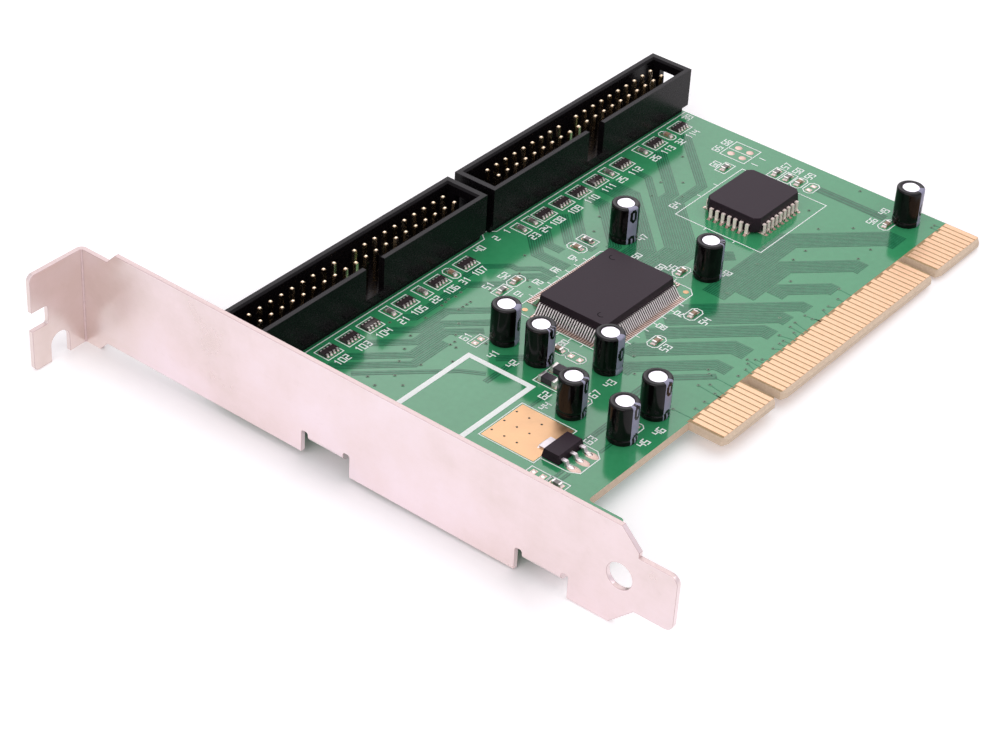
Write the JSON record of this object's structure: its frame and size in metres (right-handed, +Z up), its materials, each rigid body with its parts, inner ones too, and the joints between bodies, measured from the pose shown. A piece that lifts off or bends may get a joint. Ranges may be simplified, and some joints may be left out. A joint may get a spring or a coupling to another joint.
{
  "type": "drive controller card",
  "caption": "Short keyed edge-connector drive controller card with shrouded pin headers, flat chips, capacitors and a folded steel slot bracket.",
  "frame": {"origin": "middle of the card's overall box, at its lowest point, which is the foot of the bracket's tab", "axes": "+X along the card away from the bracket, +Y from the edge connector towards the pin headers, +Z up from the component face"},
  "size_m": [0.1326, 0.12, 0.0205],
  "materials": {
    "board_laminate": "green solder mask over glass-fibre laminate, slightly glossy",
    "gold_plating": "smooth gold plating over copper",
    "bracket_steel": "dull nickel-plated sheet steel",
    "screw_steel": "plated steel",
    "header_moulding": "black glass-filled moulding, satin",
    "pin_plating": "thin gold flash over nickel",
    "chip_moulding": "fine matt black moulding compound",
    "tinned_leads": "satin tin plating",
    "capacitor_sleeve": "black shrink sleeve with a pale stripe, bare aluminium top",
    "resistor_body": "black glazed ceramic with tinned ends",
    "capacitor_ceramic": "light brown ceramic with tinned ends",
    "ferrite": "dark grey ferrite with tinned ends"
  },
  "bodies": {
    "root": {"circuit_board": "board_laminate", "contact_fingers": "gold_plating", "mounting_bracket": "bracket_steel", "bracket_screws": "screw_steel", "near_header_shell": "header_moulding", "near_header_pins": "pin_plating", "far_header_shell": "header_moulding", "far_header_pins": "pin_plating", "controller_chip": "chip_moulding", "controller_chip_leads": "tinned_leads", "firmware_chip": "chip_moulding", "firmware_chip_leads": "tinned_leads", "voltage_regulator": "chip_moulding", "regulator_leads": "tinned_leads", "capacitor_1": "capacitor_sleeve", "capacitor_2": "capacitor_sleeve", "capacitor_3": "capacitor_sleeve", "capacitor_4": "capacitor_sleeve", "capacitor_5": "capacitor_sleeve", "capacitor_6": "capacitor_sleeve", "capacitor_7": "capacitor_sleeve", "capacitor_8": "capacitor_sleeve", "capacitor_9": "capacitor_sleeve", "resistor_array_1": "resistor_body", "resistor_array_2": "resistor_body", "resistor_array_3": "resistor_body", "resistor_array_4": "resistor_body", "resistor_array_5": "resistor_body", "resistor_array_6": "resistor_body", "resistor_array_7": "resistor_body", "resistor_array_8": "resistor_body", "resistor_array_9": "resistor_body", "resistor_array_10": "resistor_body", "resistor_array_11": "resistor_body", "resistor_array_12": "resistor_body", "resistor_array_13": "resistor_body", "resistor_array_14": "resistor_body", "chip_resistors": "resistor_body", "chip_capacitors": "capacitor_ceramic", "ferrite_beads": "ferrite"}
  },
  "joints": []
}
